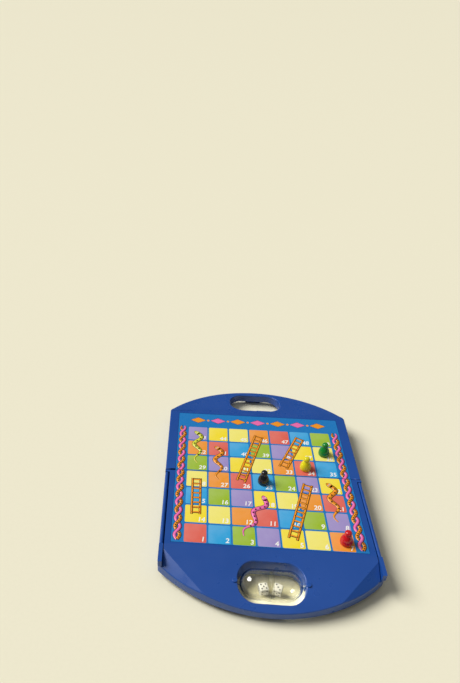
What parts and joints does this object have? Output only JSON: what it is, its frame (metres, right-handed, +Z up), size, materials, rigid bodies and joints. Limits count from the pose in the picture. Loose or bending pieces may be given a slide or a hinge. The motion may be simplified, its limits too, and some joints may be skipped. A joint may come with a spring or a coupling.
{
  "type": "snakes and ladders board",
  "caption": "Folding travel board for snakes and ladders with arched ends, finger slot, spinning clear dice capsule, magnetic pawns and side storage doors.",
  "frame": {"origin": "middle of the fold line, on the floor under the open board", "axes": "+X to the right, +Y towards the finger slot, +Z up from the play face"},
  "size_m": [0.2002, 0.2944, 0.0393],
  "materials": {
    "blue_shell": "moulded royal blue, satin gloss",
    "play_sheet": "printed and laminated sheet with coloured squares on blue",
    "under_sheet": "printed and laminated sheet with a plain coloured track",
    "steel_sheet": "thin tinned sheet",
    "steel_pin": "plain zinc plated",
    "clear_capsule": "clear polished moulding",
    "dice": "white with dark pips",
    "magnet": "dark sintered disc",
    "red_pawn": "glossy red",
    "black_pawn": "glossy black",
    "yellow_pawn": "glossy yellow",
    "green_pawn": "glossy green"
  },
  "bodies": {
    "capsule_half": {"capsule_top_shell": "blue_shell", "capsule_deck_cover": "blue_shell", "capsule_steel_sheet": "steel_sheet", "capsule_play_sheet": "play_sheet", "capsule_under_steel": "steel_sheet", "capsule_under_sheet": "under_sheet", "capsule_screw_1": "steel_pin", "capsule_screw_2": "steel_pin", "capsule_screw_3": "steel_pin", "capsule_screw_4": "steel_pin", "right_pivot_keeper": "blue_shell", "left_pivot_keeper": "blue_shell", "right_hinge_pin": "steel_pin", "left_hinge_pin": "steel_pin"},
    "handle_half": {"handle_top_shell": "blue_shell", "handle_deck_cover": "blue_shell", "handle_steel_sheet": "steel_sheet", "handle_play_sheet": "play_sheet", "handle_under_steel": "steel_sheet", "handle_under_sheet": "under_sheet", "handle_screw_1": "steel_pin", "handle_screw_2": "steel_pin", "handle_screw_3": "steel_pin", "handle_screw_4": "steel_pin"},
    "dice_capsule": {"capsule_right_cup": "clear_capsule", "capsule_left_cup": "clear_capsule"},
    "die_1": {"die_1": "dice"},
    "die_2": {"die_2": "dice"},
    "right_door": {"right_storage_door": "blue_shell"},
    "left_door": {"left_storage_door": "blue_shell"},
    "red_pawn": {"red_pawn": "red_pawn", "red_pawn_magnet": "magnet"},
    "black_pawn": {"black_pawn": "black_pawn", "black_pawn_magnet": "magnet"},
    "yellow_pawn": {"yellow_pawn": "yellow_pawn", "yellow_pawn_magnet": "magnet"},
    "green_pawn": {"green_pawn": "green_pawn", "green_pawn_magnet": "magnet"}
  },
  "joints": [
    {"name": "fold", "type": "hinge", "parent": "capsule_half", "child": "handle_half", "pos_m": [0, 0, 0.0024], "axis": [-1, 0, 0], "range_deg": [0, 180]},
    {"name": "capsule_spin", "type": "hinge", "parent": "capsule_half", "child": "dice_capsule", "pos_m": [0, -0.1212, 0.0137], "axis": [1, 0, 0], "continuous": true},
    {"name": "die_1_hop", "type": "slide", "parent": "dice_capsule", "child": "die_1", "axis": [0, 0, 1], "range_m": [0, 0.011]},
    {"name": "die_2_hop", "type": "slide", "parent": "dice_capsule", "child": "die_2", "axis": [0, 0, 1], "range_m": [0, 0.011]},
    {"name": "right_door_swing", "type": "hinge", "parent": "capsule_half", "child": "right_door", "pos_m": [0.09825, -0.04775, 0.02135], "axis": [0, -1, 0], "range_deg": [0, 100]},
    {"name": "left_door_swing", "type": "hinge", "parent": "capsule_half", "child": "left_door", "pos_m": [-0.09825, -0.04775, 0.02135], "axis": [0, 1, 0], "range_deg": [0, 100]},
    {"name": "red_pawn_lift", "type": "slide", "parent": "capsule_half", "child": "red_pawn", "axis": [0, 0, 1], "range_m": [0, 0.03]},
    {"name": "black_pawn_lift", "type": "slide", "parent": "capsule_half", "child": "black_pawn", "axis": [0, 0, 1], "range_m": [0, 0.03]},
    {"name": "yellow_pawn_lift", "type": "slide", "parent": "handle_half", "child": "yellow_pawn", "axis": [0, 0, 1], "range_m": [0, 0.03]},
    {"name": "green_pawn_lift", "type": "slide", "parent": "handle_half", "child": "green_pawn", "axis": [0, 0, 1], "range_m": [0, 0.03]}
  ]
}
